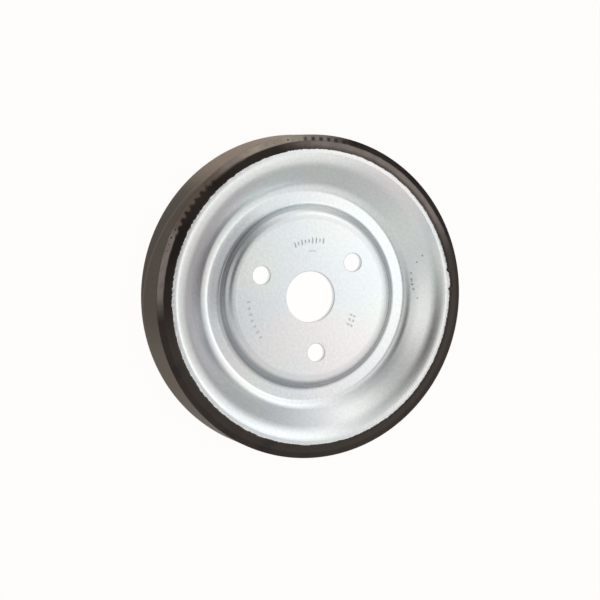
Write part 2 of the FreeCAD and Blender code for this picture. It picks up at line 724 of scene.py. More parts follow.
@dataclass(frozen=True)
class ZincPlating:
    """Clear zinc on pressed steel: satin and cloudy, with fine spangle, a bright worn edge whose
    brightness is partly a painted highlight, and stretches of painted shade and reflections.

    Lengths are in millimetres.

    Attributes:
        cold: The colour of its bluish clouds.
        green: The colour of its greenish clouds.
        warm: The colour of its pinkish clouds.
        warm_share: How strong those are.
        clouds: The noise between the bluish and the greenish.
        drift: The noise of the pinkish.
        spangle: The noise of its crystals.
        spangle_shade: How dark the darkest crystal is.
        spangle_bump: The crystals' depth and how much of it shows.
        grain: The noise of its finest roughness.
        roughness: Its least and its most roughness.
        bare: The colour of the metal where the tread's edge has flaked, bright enough to paint the
            rim's highlight as well.
        flakes: The noise of the flakes.
        worn: The radii between which the worn edge starts, where its bare colour also paints the rim's
            highlight.
        worn_raggedness: How uneven that start is.
        worn_share: How bare the worn edge is.
        worn_matt: How far the worn edge is from shining as metal does.
        scuff: The spot that is scraped bare.
        scraped: The radii between which that begins.
        rim: The radii between which the rim turns rougher.
        rim_roughness: How much rougher it is.
        corner: The least and the greatest radius of the hub's bend.
        corner_soft: How soft the ends of the bend are.
        corner_roughness: How much rougher the bend is.
        stamp_heights: The heights between which the darker tone in the stamped strokes starts, and
            those
        between which it ends.
        stamp_reach: How far from the axis there are stamped strokes.
        stroke_tone: The darker colour inside the stamped strokes.
        stroke_tone_share: How strong it is.
        speck: The colour of its specks.
        speck_share: How strong they are.
        painted_shading: The stretches whose colour paints in shade where it is darker and reflections
            where it is lighter.
        specks: Its small dark spots.
    """

    cold: Colour = (0.70, 0.735, 0.765)
    green: Colour = (0.72, 0.765, 0.75)
    warm: Colour = (0.765, 0.735, 0.745)
    warm_share: float = 0.85
    clouds: Grain = Grain(34.0, 1.5)
    drift: Grain = Grain(47.0, 1.0, squeeze=(0.7, 1.1, 1.3))
    spangle: Grain = Grain(1.1, 3.0, 0.65)
    spangle_shade: Colour = (0.93, 0.93, 0.93)
    spangle_bump: Limits = (0.012, 0.6)
    grain: Grain = Grain(0.22)
    roughness: Limits = (0.16, 0.25)
    bare: Colour = (0.96, 0.945, 0.93)
    flakes: Grain = Grain(1.3, 2.0, 0.6)
    worn: Limits = (53.9, 54.5)
    worn_raggedness: float = 1.2
    worn_share: float = 0.85
    worn_matt: float = 0.8
    scuff: Speck = Speck(5.4, 55.3, 5.6, 3.6)
    scraped: Limits = (54.5, 54.9)
    rim: Limits = (52.4, 53.6)
    rim_roughness: float = 0.13
    corner: Limits = (29.1, 30.7)
    corner_soft: float = 0.5
    corner_roughness: float = 0.12
    stamp_heights: tuple[float, float, float, float] = (1.98, 1.86, 1.55, 1.35)
    stamp_reach: float = 28.0
    stroke_tone: Colour = (0.30, 0.31, 0.32)
    stroke_tone_share: float = 0.25
    speck: Colour = (0.13, 0.12, 0.11)
    speck_share: float = 0.6
    painted_shading: tuple[PaintedShading, ...] = ()
    specks: tuple[Speck, ...] = ()

    def tint(self, sheet: RingSheet, clouds: Signal) -> Signal:
        """Mixes the plating's clouds, its painted shading and the darker tone in the stamped strokes.

        Args:
            sheet: The material's nodes.
            clouds: The noise between the bluish and the greenish clouds.

        Returns:
            The colour of the plating without its crystals.
        """
        tint = sheet.mix(self.cold, self.green, clouds.smooth(0.40, 0.60))
        tint = sheet.mix(tint, self.warm, sheet.noise(self.drift).smooth(0.47, 0.66) * self.warm_share)
        # Paints shade and reflections into the plating's colour.
        for shading_patch in self.painted_shading:
            tint = shading_patch.over(sheet, tint)
        # The stamped strokes are darker inside.
        starts, begun, ends, ended = self.stamp_heights
        stamped = sheet.z.smooth_mm(starts, begun) * sheet.z.smooth_mm(ended, ends)
        on_hub = sheet.radius.smooth_mm(self.stamp_reach, 0.98 * self.stamp_reach)
        return sheet.mix(tint, self.stroke_tone, stamped * on_hub * self.stroke_tone_share)

    def wear_and_highlight(self, sheet: RingSheet, spangle: Signal) -> Signal:
        """Works out where the metal is bare, which also paints a highlight on the rim.

        Args:
            sheet: The material's nodes.
            spangle: The noise of the crystals, which makes the worn edge uneven.

        Returns:
            One where it is bare, and nothing where the plating is whole.
        """
        ragged = (spangle - 0.5) * (self.worn_raggedness * MILLIMETRE)
        flaked = sheet.noise(self.flakes).smooth(0.40, 0.52) * self.worn_share
        worn = (sheet.radius + ragged).smooth_mm(*self.worn) * flaked
        scraped = sheet.near(self.scuff) * sheet.radius.smooth_mm(*self.scraped)
        return sheet.math("MAXIMUM", worn, scraped)

    def material(self) -> bpy.types.Material:
        """Makes the material."""
        sheet = RingSheet("zinc_plating")
        clouds = sheet.noise(self.clouds)
        spangle = sheet.noise(self.spangle)
        grain = sheet.noise(self.grain)
        shade = sheet.mix(self.spangle_shade, WHITE, spangle.smooth(0.3, 0.7))
        sockets = {0: 1.0, 6: self.tint(sheet, clouds), 7: shade}
        settings = {"data_type": "RGBA", "blend_type": "MULTIPLY"}
        colour = sheet.node("ShaderNodeMix", settings, sockets, 2)
        worn = self.wear_and_highlight(sheet, spangle)
        # Bare metal at the rim: partly real wear, partly a painted highlight.
        colour = sheet.mix(colour, self.bare, worn)
        colour = sheet.speckled(colour, self.specks, self.speck, self.speck_share)
        rim = sheet.radius.smooth_mm(*self.rim) * self.rim_roughness
        bend = sheet.radius.band(self.corner, self.corner_soft) * self.corner_roughness
        rough = (spangle * 0.6 + clouds * 0.4).spread(*self.roughness) + (grain - 0.5) * 0.05
        sheet.surface(
            Base_Color=colour,
            Metallic=1.0 - worn * self.worn_matt,
            Roughness=rough + rim + bend,
            Normal=sheet.bump(spangle, *self.spangle_bump),
        )
        return sheet.material


@dataclass(frozen=True)
class TreadRubber:
    """Moulded black rubber, brown in the light, with a fine grain and a faint turned finish, and light
    and shade painted on stretches of its lip, shoulder and tread.

    Lengths are in millimetres.

    Attributes:
        dark: Its deepest colour.
        pale: Its paler colour in random patches, also laid on the shoulder's dimples as painted shade.
        sheen_tone: Its colour where a sheen is painted on the lip.
        lit_tone: Its colour where light is painted on the lip and the shoulder, also that of the
            lighter streak on the tread.
        lit_brightest: Its colour where the painted light on the shoulder is brightest.
        brown: Its colour where the painted light on the shoulder is dimmer.
        side: Its colour on the tread itself.
        side_shaded: The darker colour of one stretch of the tread, as painted shade.
        side_lit: The lighter colour of another, as painted light.
        pit: The colour painted into its pits as their shade.
        bloom: The noise of its broad tones.
        mottle: The noise that makes the painted light patchy and its edges uneven.
        grain: The noise of its moulded grain.
        lines: The noise of the turned finish.
        grain_bump: The grain's depth and how much of it shows.
        lines_bump: The same for the turned finish.
        roughness: Its least and its most roughness.
        gloss: How strongly it mirrors, where 0.5 is glass.
        bead_radii: The radii between which the painted light on the bead gets stronger.
        bead_unevenness: How uneven that is.
        bead_share: How much of the painted light the bead keeps.
        lip_outer_radius: Where the lip meets the shoulder.
        lip_unevenness: How uneven the edge of the lip's painted light is.
        lip_blur: How soft that edge is.
        side_radii: The radii between which the shoulder turns into the tread.
        lip_lit: The stretch of the lip with painted light.
        lip_sheen: The stretch of the lip with painted sheen.
        sheen_loss: How much of the painted sheen is missing on the shoulder.
        lip_wide: The stretch where the lip's painted light reaches further out.
        lip_wide_reach: How much further.
        shoulder_lit: The stretch of the shoulder with painted light.
        shoulder_brightest: The stretch where that painted light is brightest.
        shoulder_brown: The stretch where it is dimmer.
        blurred: The stretch where the lip's edge is softer.
        blurred_more: How much softer.
        dimple_count: How many moulded dimples the shoulder has in a turn.
        dimple_radius: The radius of their ring.
        dimple_reach: How far from that radius they begin and are whole.
        dimple_share: How dark their painted shade is.
        dark_dimples: The stretch where the dimples are painted dark as shade all through.
        scallops: The stretch where the painted light ends in scallops between the dimples.
        scallop_depth: How far the scallops reach.
        scallop_soft: How much softer the lip's edge is there.
        shaded_stretch: The stretch of the tread with painted shade.
        lit_stretch: The stretch of the tread with painted light.
        streak: The stretch of the lighter streak that winds round the tread.
        streak_height: Its height in the middle of the stretch.
        streak_slope: How much it rises from degree to degree.
        streak_lowest: Its least height.
        streak_reach: How far from its middle it begins and is whole.
        streak_waver: How uneven it is.
        streak_share: How strong it is.
        pits: Its small pits, each painted dark as its shade.
    """

    dark: Colour = (0.015, 0.0115, 0.0095)
    pale: Colour = (0.028, 0.022, 0.018)
    sheen_tone: Colour = (0.057, 0.045, 0.039)
    lit_tone: Colour = (0.235, 0.197, 0.180)
    lit_brightest: Colour = (0.385, 0.330, 0.275)
    brown: Colour = (0.130, 0.098, 0.078)
    side: Colour = (0.085, 0.060, 0.034)
    side_shaded: Colour = (0.052, 0.032, 0.016)
    side_lit: Colour = (0.275, 0.195, 0.140)
    pit: Colour = (0.004, 0.0035, 0.003)
    bloom: Grain = Grain(21.0, 3.0, 0.6)
    mottle: Grain = Grain(4.2, 3.0, 0.6)
    grain: Grain = Grain(0.4, 3.0, 0.6)
    lines: Grain = Grain(0.6, squeeze=(0.05, 0.05, 1.0))
    grain_bump: Limits = (0.02, 0.5)
    lines_bump: Limits = (0.02, 0.35)
    roughness: Limits = (0.42, 0.56)
    gloss: float = 0.09
    bead_radii: Limits = (55.1, 56.6)
    bead_unevenness: float = 0.8
    bead_share: float = 0.45
    lip_outer_radius: float = 57.8
    lip_unevenness: float = 0.5
    lip_blur: float = 0.26
    side_radii: Limits = (59.85, 60.0)
    lip_lit: Span = (60.0, 22.0, 47.0)
    lip_sheen: Span = (285.0, 84.0, 108.0)
    sheen_loss: float = 0.4
    lip_wide: Span = (5.0, 12.0, 28.0)
    lip_wide_reach: float = 0.6
    shoulder_lit: Span = (131.0, 43.0, 57.0)
    shoulder_brightest: Span = (106.0, 6.0, 17.0)
    shoulder_brown: Span = (141.0, 8.0, 17.0)
    blurred: Span = (127.0, 5.0, 14.0)
    blurred_more: float = 0.44
    dimple_count: int = 120
    dimple_radius: float = 58.45
    dimple_reach: Limits = (1.05, 0.35)
    dimple_share: float = 0.85
    dark_dimples: Span = (83.0, 8.0, 14.0)
    scallops: Span = (144.0, 8.0, 14.0)
    scallop_depth: float = 0.9
    scallop_soft: float = 0.3
    shaded_stretch: Span = (166.0, 18.0, 34.0)
    lit_stretch: Span = (107.0, 10.0, 33.0)
    streak: Span = (160.0, 22.0, 60.0)
    streak_height: float = -7.2
    streak_slope: float = -0.30
    streak_lowest: float = -14.2
    streak_reach: Limits = (1.3, 0.1)
    streak_waver: float = 0.6
    streak_share: float = 0.28
    pits: tuple[Speck, ...] = ()

    def past_lip(self, sheet: RingSheet, wave: Signal, mottle: Signal) -> Signal:
        """Works out where the lip ends for the painted light, in scallops on one stretch of it.

        Args:
            sheet: The material's nodes.
            wave: The dimples' wave round the axis, from -1 to 1.
            mottle: The noise that makes the edge uneven.

        Returns:
            Nothing on the lip and one on the shoulder.
        """
        scalloped = sheet.sector(self.scallops)
        uneven_depth = mottle.smooth(0.34, 0.62).spread(0.3, 1.25) * self.scallop_depth
        reach = wave.smooth(-0.9, 0.9) * scalloped * uneven_depth
        reach = reach + sheet.sector(self.lip_wide) * self.lip_wide_reach
        edge = reach + (mottle - 0.5) * self.lip_unevenness + self.lip_outer_radius
        blur = sheet.sector(self.blurred) * self.blurred_more + scalloped * self.scallop_soft
        blur = blur + self.lip_blur
        return ((sheet.radius / MILLIMETRE - edge) / blur).smooth(-1.0, 1.0)

    def tread_colour(self, sheet: RingSheet, bloom: Signal, mottle: Signal) -> Signal:
        """Works out the colour of the tread itself, with painted shade and painted light on two
        stretches and the lighter streak that winds round it.

        Args:
            sheet: The material's nodes.
            bloom: The noise that breaks the streak up.
            mottle: The noise that makes it uneven.

        Returns:
            The colour.
        """
        # Painted shade on one stretch of the tread and painted light on another.
        tread = sheet.mix(self.side, self.side_shaded, sheet.sector(self.shaded_stretch))
        tread = sheet.mix(tread, self.side_lit, sheet.sector(self.lit_stretch))
        # A lighter streak that winds round the tread.
        line = sheet.turned(self.streak[0]) * self.streak_slope + self.streak_height
        line = sheet.math("MAXIMUM", line, self.streak_lowest)
        off_line = sheet.z / MILLIMETRE - line + (mottle - 0.5) * self.streak_waver
        streaked = sheet.math("ABSOLUTE", off_line).smooth(*self.streak_reach) * sheet.sector(self.streak)
        return sheet.mix(tread, self.lit_tone, streaked * bloom.smooth(0.2, 0.55) * self.streak_share)

    def material(self) -> bpy.types.Material:
        """Makes the material."""
        sheet = RingSheet("tread_rubber")
        within = sheet.sector
        bloom = sheet.noise(self.bloom)
        mottle = sheet.noise(self.mottle)
        grain = sheet.noise(self.grain)
        turn = sheet.math("ARCTAN2", sheet.y, sheet.x) * float(self.dimple_count)
        wave = sheet.math("COSINE", turn + (mottle - 0.5) * 2.0)
        past_lip = self.past_lip(sheet, wave, mottle)
        uneven = (mottle - 0.5) * (self.bead_unevenness * MILLIMETRE)
        off_bead = (sheet.radius + uneven).smooth_mm(*self.bead_radii)
        patchy = mottle.smooth(0.2, 0.62).spread(0.72, 1.0)

        colour = sheet.mix(self.dark, self.pale, bloom.smooth(0.35, 0.68))
        # Painted sheen on one stretch of the lip.
        sheened = within(self.lip_sheen) * bloom.smooth(0.1, 0.5) * (1.0 - past_lip * self.sheen_loss)
        colour = sheet.mix(colour, self.sheen_tone, sheened)
        # Painted light on the lip, patchy and uneven.
        lip_light = within(self.lip_lit) * (1.0 - past_lip) * off_bead.spread(self.bead_share, 1.0)
        colour = sheet.mix(colour, self.lit_tone, lip_light * patchy)
        # Painted light on the shoulder, brightest on one stretch and dimmer on another.
        shoulder_light = sheet.mix(self.lit_tone, self.lit_brightest, within(self.shoulder_brightest))
        shoulder_light = sheet.mix(shoulder_light, self.brown, within(self.shoulder_brown))
        colour = sheet.mix(colour, shoulder_light, within(self.shoulder_lit) * past_lip * patchy)
        off_ring = sheet.math("ABSOLUTE", sheet.radius / MILLIMETRE - self.dimple_radius)
        # Painted shade in the shoulder's dimples on one stretch.
        dimple_shade = wave.smooth(-0.4, 0.6) * off_ring.smooth(*self.dimple_reach)
        dimple_shade = dimple_shade * within(self.dark_dimples) * self.dimple_share
        colour = sheet.mix(colour, self.pale, dimple_shade)
        on_side = sheet.radius.smooth_mm(*self.side_radii)
        colour = sheet.mix(colour, self.tread_colour(sheet, bloom, mottle), on_side)
        normal = sheet.bump(grain, *self.grain_bump)
        sheet.surface(
            # Dark specks painted as the shade in the shoulder's pits.
            Base_Color=sheet.speckled(colour, self.pits, self.pit),
            Roughness=(grain * 0.5 + bloom * 0.5).spread(*self.roughness),
            Specular_IOR_Level=self.gloss,
            Normal=sheet.bump(sheet.noise(self.lines), *self.lines_bump, normal),
        )
        return sheet.material


# Pieces


class Mark(Enum):
    """The plain strokes of a stamp: the size across and along the row, in millimetres."""

    TALL = (2.1, 0.7)
    SHORT = (1.3, 0.7)
    DOT = (0.95, 0.95)
    DASH = (0.55, 1.5)


PUNCH_RADII = (0.36, 0.5, 0.62)
PUNCH_TURNS = 20
PUNCH_SQUARENESS = 0.6
PUNCH_FIT = 0.76


@dataclass(frozen=True)
class Tally:
    """A row of plain strokes stamped along an arc of the hub.

    Attributes:
        marks: The strokes, in order of rising angle.
        radius: The radius of the row, in millimetres.
        middle: The angle of the row's middle, in degrees.
        pitch: The distance between strokes, in millimetres.
        depth: How deep they are, in millimetres.
        drift: How much the radius grows from stroke to stroke, in millimetres.
    """

    marks: tuple[Mark, ...]
    radius: float
    middle: float
    pitch: float
    depth: float
    drift: float = 0.0

    def cutters(self, face_height: float) -> list[Surface]:
        """Makes the shapes that cut the strokes.

        Each is a lozenge-ended bar, made from a low spindle that is stretched along its length, and
        its sides slope outwards as a punch's do.

        Args:
            face_height: The height of the stamped face, in millimetres.

        Returns:
            The shapes, in place.
        """
        punch = spindle(list(zip(PUNCH_RADII, (-self.depth, 0.0, self.depth))), PUNCH_TURNS)
        flat, rise = punch.points[:, :2], punch.points[:, 2]
        stadium = np.sign(flat) * np.abs(flat) ** PUNCH_SQUARENESS * PUNCH_FIT
        shapes = []
        for index, mark in enumerate(self.marks):
            step = index - (len(self.marks) - 1) / 2
            angle = self.middle + math.degrees(step * self.pitch / self.radius)
            stroke = Surface(np.column_stack([stadium * mark.value, rise]), punch.faces)
            centre = (self.radius + step * self.drift) * heading(angle)
            shapes.append(stroke.moved((*centre, face_height), angle))
        return shapes


@dataclass
class PlatedDisc:
    """The pressed disc: hub, channel, cone, flange and drum, all in millimetres and degrees."""

    sheet: float = 2.0
    cut_edge_round: float = 0.3
    hub_rise: float = 4.0
    hub_wall_angle: float = 60.0
    channel_width: float = 6.35
    cone_angle: float = 37.9
    flange_angle: float = 21.0
    flange_width: float = 7.0
    hub_corner_bend: float = 3.0
    hub_foot_bend: float = 1.4
    channel_foot_bend: float = 5.5
    cone_top_bend: float = 11.0
    rim_bend: float = 1.4
    turns: int = 510
    bolt_hole_start: float = 36.3
    bolt_hole_turns: int = 72
    sharp_angle: float = 32.0
    tallies: tuple[Tally, ...] = ()

    def __post_init__(self) -> None:
        """Reads the sizes that the frame holds."""
        self.drum_radius, self.back, self.rim_height = node_reach(DISC_NODE)
        self.bore_radius = mount("hub_bore")["dims"]["r_mm"]
        holes = mount("bolt_circle")["dims"]
        self.bolt_circle_radius = holes["pcd_mm"] / 2
        self.bolt_hole_radius = holes["hole_r_mm"]
        self.bolt_hole_count = holes["count"]

    @property
    def bends(self) -> list[float]:
        """The inside radii of the bends, from the hub out."""
        return [
            self.hub_corner_bend,
            self.hub_foot_bend,
            self.channel_foot_bend,
            self.cone_top_bend,
            self.rim_bend,
        ]

    @property
    def rim_front_radius(self) -> float:
        """The radius of the rim's bend on its outside."""
        return self.rim_bend + self.sheet

    @property
    def rim_centre(self) -> Corner:
        """The centre of the rim's bend."""
        return self.drum_radius - self.rim_front_radius, self.rim_height - self.rim_front_radius

    def rim_surface(self, radius: np.ndarray) -> np.ndarray:
        """The height of the rim's outside at each radius: a quarter circle that falls to the drum."""
        sideways = np.clip(radius - self.rim_centre[0], 0, self.rim_front_radius)
        return self.rim_centre[1] + np.sqrt(self.rim_front_radius ** 2 - sideways ** 2)

    def front(self) -> list[Corner]:
        """The sharp corners of the front, from the bore out and down the drum.

        The drum places the flange, the flange places the cone, and the cone places the channel,
        which leaves the rest to the hub.
        """
        floor = self.sheet - self.hub_rise
        flange_end = self.rim_centre + self.rim_front_radius * heading(self.flange_angle + 90)
        flange_start = (self.drum_radius - self.flange_width, 0)
        cone_top = crossing(flange_end, self.flange_angle, flange_start, 90)
        cone_foot = crossing(cone_top, self.cone_angle, (0, floor), 0)
        hub_foot = (cone_foot[0] - self.channel_width, floor)
        return [
            (self.bore_radius, self.sheet),
            crossing(hub_foot, -self.hub_wall_angle, (0, self.sheet), 0),
            hub_foot,
            cone_foot,
            cone_top,
            crossing(flange_end, self.flange_angle, (self.drum_radius, 0), 90),
            (self.drum_radius, self.back),
        ]

    @property
    def hub_flat_radius(self) -> float:
        """The radius at which the hub's flat front ends and its bend begins."""
        touch = math.tan(math.radians(self.hub_wall_angle / 2))
        return self.front()[1][0] - (self.hub_corner_bend + self.sheet) * touch

    def section(self) -> np.ndarray:
        """The whole section of the sheet, front and rear, as points."""
        front = self.front()
        rear = shifted_right(front, self.sheet)
        turns = [turn_at(*three) for three in zip(front, front[1:], front[2:])]
        bends = list(zip(self.bends, turns))
        front_radii = [bend + (self.sheet if turn < 0 else 0) for bend, turn in bends]
        rear_radii = [bend + (self.sheet if turn > 0 else 0) for bend, turn in bends]
        edge = self.cut_edge_round
        radii = [edge, *front_radii, edge, edge, *rear_radii[::-1], 0]
        return RoundedLoop(front + rear[::-1], radii).points()

    def bolt_punches(self) -> list[Surface]:
        """The shapes that cut the bolt holes, flared at the front to round the edge."""
        edge = self.cut_edge_round
        above = 0.02 * edge
        flare = np.radians(np.linspace(180, 90, 7))[:-1]
        radii = self.bolt_hole_radius + edge + edge * np.cos(flare)
        heights = self.sheet - edge + edge * np.sin(flare)
        profile = [
            (self.bolt_hole_radius, -self.sheet),
            *zip(radii, heights),
            (self.bolt_hole_radius + edge + above, self.sheet + above),
            (self.bolt_hole_radius + edge + above, 2 * self.sheet),
        ]
        punch = spindle(profile, self.bolt_hole_turns)
        turns = self.bolt_hole_start + np.arange(self.bolt_hole_count) * 360 / self.bolt_hole_count
        return [punch.moved((*self.bolt_circle_radius * heading(turn), 0)) for turn in turns]

    def build(self, finish: ZincPlating) -> bpy.types.Object:
        """Makes the disc, punches it and dresses it.

        Args:
            finish: Its plating.

        Returns:
            The finished piece, on the part's body.
        """
        section = self.section()
        shape = (self.turns, len(section))
        blank = ring(np.broadcast_to(section[:, 0], shape), np.broadcast_to(section[:, 1], shape))
        strokes = [stroke for tally in self.tallies for stroke in tally.cutters(self.sheet)]
        piece = placed("plated_disc", blank.mesh("plated_disc"))
        cut(piece, joined(self.bolt_punches() + strokes))
        piece.data.materials.clear()
        piece.data.materials.append(finish.material())
        sharpen(piece.data, self.sharp_angle)
        crease_cuts(piece.data, self.sheet, self.hub_flat_radius)
        return dressed(piece, DISC_NODE)


@dataclass
class MouldedTread:
    """The rubber tread: a ring on the drum with a beaded lip, in millimetres and degrees.

    A tooth beside the chip is its height, and its place and half its width as shares of half the
    chip's length. A ripple moves a point outwards by its lean and upwards by its rise, both as
    shares of its height.
    """

    disc: PlatedDisc
    lip_overlap: float = 2.1
    lip_flank_angle: float = 32.0
    bead_width: float = 0.7
    lip_width: float = 3.1
    lip_angle: float = 29.0
    shoulder_angle: float = 20.0
    rubber_round: float = 0.35
    back_chamfer: float = 0.6
    sharp_angle: float = 40.0
    turns: int = 1440
    arc_step: float = 12.0
    run_step: float = 1.2
    run_margin: float = 0.1
    run_limit: int = 7
    rim_points: int = 12
    ragged_cells: int = 230
    ragged_depth: float = 0.38
    worn_back: float = 0.4
    worn_reach: float = 28.0
    ripple_count: int = 120
    ripple_height: float = 0.11
    ripple_radius: float = 58.5
    ripple_reach: float = 1.1
    ripple_lean: float = 0.5
    ripple_rise: float = 0.85
    swell_cells: int = 23
    chip_angle: float = 5.4
    chip_length: float = 6.4
    chip_width: float = 1.1
    teeth: tuple[tuple[float, float, float], ...] = ((0.75, 1.25, 0.32), (0.85, -1.04, 0.2))

    def __post_init__(self) -> None:
        """Reads the sizes that the frame holds, and works out where the lip starts and ends."""
        self.radius, self.back, _ = node_reach(TREAD_NODE)
        self.lip_inner_radius = self.disc.drum_radius - self.lip_overlap
        self.lip_outer_radius = self.lip_inner_radius + self.lip_width

    def edge_radius(self, angle: np.ndarray) -> np.ndarray:
        """Where the lip ends at each angle round the axis.

        Two uneven lines, one coarse and one fine, tear the edge, which is worn back round the chip.
        The chip pushes it outwards over its length, with steep ends, a tooth beside each and a
        bitten middle.

        Args:
            angle: The angles, in radians.

        Returns:
            The lip's inner radius at each, in millimetres.
        """
        coarse = periodic_noise(angle, self.ragged_cells, 11)
        fine = periodic_noise(angle, 3 * self.ragged_cells, 12)
        torn = self.ragged_depth * np.clip(0.4 * coarse + 0.75 * fine, -0.9, 0.8)
        off = np.degrees(np.angle(np.exp(1j * (angle - math.radians(self.chip_angle)))))
        along = np.radians(off) * self.lip_inner_radius / (self.chip_length / 2)
        inside = np.clip((1 - np.abs(along)) * 6, 0, 1)
        bitten = 0.95 + 0.22 * periodic_noise(angle, 2 * self.ragged_cells, 13) - 0.18 * along
        teeth = sum(rise * bump_window(along, place, width) for rise, place, width in self.teeth)
        worn = self.worn_back * bump_window(off, 0.0, self.worn_reach) + 0.7 * torn
        push = worn * (1 - inside) + inside * bitten * self.chip_width - teeth
        return self.lip_inner_radius + push

    def seat(self) -> Corner:
        """Where the lip ends on the rim, before it was torn."""
        rim = self.disc.rim_surface(np.float64(self.lip_inner_radius))
        return self.lip_inner_radius, float(rim)

    def crest(self) -> Corner:
        """The top of the lip's bead."""
        return crossing(self.seat(), self.lip_flank_angle, (self.seat()[0] + self.bead_width, 0), 90)

    def section(self) -> tuple[np.ndarray, int]:
        """Works out the section of the whole tread.

        The outside runs from the lip's end over the bead, down the lip and the shoulder and round
        the tread, and the inside comes back up the drum and over the rim.

        Returns:
            The section's points, and the number of those before the rim's bend.
        """
        disc = self.disc
        seat, crest = self.seat(), self.crest()
        lip_corner = crossing(crest, -self.lip_angle, (self.lip_outer_radius, 0), 90)
        bend_end = (disc.drum_radius, disc.rim_centre[1])
        corners = [
            seat,
            crest,
            lip_corner,
            crossing(lip_corner, -self.shoulder_angle, (self.radius, 0), 90),
            (self.radius, self.back + self.back_chamfer),
            (self.radius - self.back_chamfer, self.back),
            (disc.drum_radius, self.back),
            bend_end,
        ]
        radii = [0, *[self.rubber_round] * 5, 0, 0]
        steps = (self.arc_step, self.run_step, self.run_margin, self.run_limit)
        outside = RoundedLoop(corners, radii, *steps).points()
        last = int(np.argmin(np.linalg.norm(outside - bend_end, axis=1)))
        seat_turn = math.asin((seat[1] - disc.rim_centre[1]) / disc.rim_front_radius)
        sweep = np.linspace(0, seat_turn, self.rim_points)[1:-1, None]
        arc = disc.rim_front_radius * np.hstack([np.cos(sweep), np.sin(sweep)])
        return np.concatenate([outside[:last + 1], disc.rim_centre + arc]), last

    def shape(self) -> Surface:
        """Carries the section round the axis, tears its lip and ripples its shoulder.

        Points of the lip slide with its edge, the whole way at the edge and not at all at the
        shoulder, and where the edge is torn back the lip rises to its old height over the width of
        the bead. On the shoulder the surface rises and falls round the axis as a cosine does.

        Returns:
            The finished surface.
        """
        disc = self.disc
        section, last = self.section()
        crest_radius, crest_height = self.crest()
        angle = np.linspace(0, 2 * np.pi, self.turns, endpoint=False)[:, None]
        radius = np.tile(section[:, 0], (self.turns, 1))
        height = np.tile(section[:, 1], (self.turns, 1))
        outer = np.arange(len(section)) < last

        push = self.edge_radius(angle) - self.lip_inner_radius
        slide = np.clip((self.lip_outer_radius - radius) / self.lip_width, 0, 1)
        slide = slide * (height >= disc.rim_centre[1] - NEAR_ZERO)
        slid = radius + push * slide
        slid = np.where(outer, slid, np.minimum(slid, disc.drum_radius))
        on_rim = disc.rim_surface(slid)
        lip_line = crest_height - (slid - crest_radius) * math.tan(math.radians(self.lip_angle))
        share = np.clip((slid - self.lip_inner_radius - push) / self.bead_width, 0, 1)
        torn = np.where(outer, on_rim + share * np.maximum(lip_line - on_rim, 0), on_rim)
        change = np.where(outer, np.clip(push / 0.1, 0, 1), 1) * (slide > 0)
        height = height + change * (torn - height)
        radius = np.where(slide > 0, slid, radius)

        swell = 0.6 + 0.4 * periodic_noise(angle, self.swell_cells, 14)
        ripple = -self.ripple_height * swell * np.cos(self.ripple_count * angle)
        on_shoulder = bump_window(radius, self.ripple_radius, self.ripple_reach)
        ripple = ripple * on_shoulder * outer * (height > 3.0)
        radius = np.minimum(radius + self.ripple_lean * ripple, self.radius)
        return ring(radius, height + self.ripple_rise * ripple)

    def build(self, finish: TreadRubber) -> bpy.types.Object:
        """Makes the tread and dresses it.

        Args:
            finish: Its rubber.

        Returns:
            The finished piece, on the part's body.
        """
        piece = placed("moulded_tread", self.shape().mesh("moulded_tread"))
        piece.data.materials.append(finish.material())
        sharpen(piece.data, self.sharp_angle)
        return dressed(piece, TREAD_NODE)


def placed(name: str, mesh: bpy.types.Mesh) -> bpy.types.Object:
    """Puts a mesh into the scene as an object of that name."""
    piece = bpy.data.objects.new(name, mesh)
    bpy.context.scene.collection.objects.link(piece)
    return piece


def cut(piece: bpy.types.Object, cutter: Surface) -> None:
    """Takes a shape out of a piece, for good.

    Args:
        piece: The piece to cut.
        cutter: The shape that is taken out.
    """
    tool = placed("cutter", cutter.mesh("cutter"))
    boolean = piece.modifiers.new("punch", "BOOLEAN")
    boolean.operation = "DIFFERENCE"
    boolean.solver = "EXACT"
    boolean.object = tool
    evaluated = piece.evaluated_get(bpy.context.evaluated_depsgraph_get())
    finished = bpy.data.meshes.new_from_object(evaluated)
    piece.modifiers.clear()
    piece.data = finished
    bpy.data.objects.remove(tool)


def sharpen(mesh: bpy.types.Mesh, angle: float) -> None:
    """Shades a mesh smooth, apart from edges that turn by more than the angle in degrees."""
    mesh.shade_smooth()
    mesh.set_sharp_from_angle(angle=math.radians(angle))


LEVEL_GAP = 1e-7
REACH_MARGIN = 0.5
UPRIGHT = 0.9999


def crease_cuts(mesh: bpy.types.Mesh, height: float, reach: float) -> None:
    """Keeps a flat face flat in its shading, up to the edges of what was cut into it.

    An edge becomes sharp where all of it lies on the flat face and only one side of it is flat.

    Args:
        mesh: The mesh that was cut.
        height: The height of the flat face, in millimetres.
        reach: How far from the axis it goes, in millimetres.
    """
    face_height = height * MILLIMETRE
    limit = (reach - REACH_MARGIN) * MILLIMETRE
    work = bmesh.new()
    work.from_mesh(mesh)
    for edge in work.edges:
        level = all(abs(vertex.co.z - face_height) < LEVEL_GAP for vertex in edge.verts)
        inside = all(vertex.co.xy.length < limit for vertex in edge.verts)
        upright = [face.normal.z > UPRIGHT for face in edge.link_faces]
        if level and inside and any(upright) and not all(upright):
            edge.smooth = False
    work.to_mesh(mesh)
    work.free()


def dressed(piece: bpy.types.Object, node: str) -> bpy.types.Object:
    """Sets a finished piece on the part's body, in place of its CAD node.

    Args:
        piece: The piece.
        node: The CAD node that it stands for.

    Returns:
        The piece.
    """
    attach(piece, BODY)
    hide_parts(node)
    counts = len(piece.data.vertices), len(piece.data.polygons)
    log.info("%s: %d points, %d faces", piece.name, *counts)
    return piece


# Studio


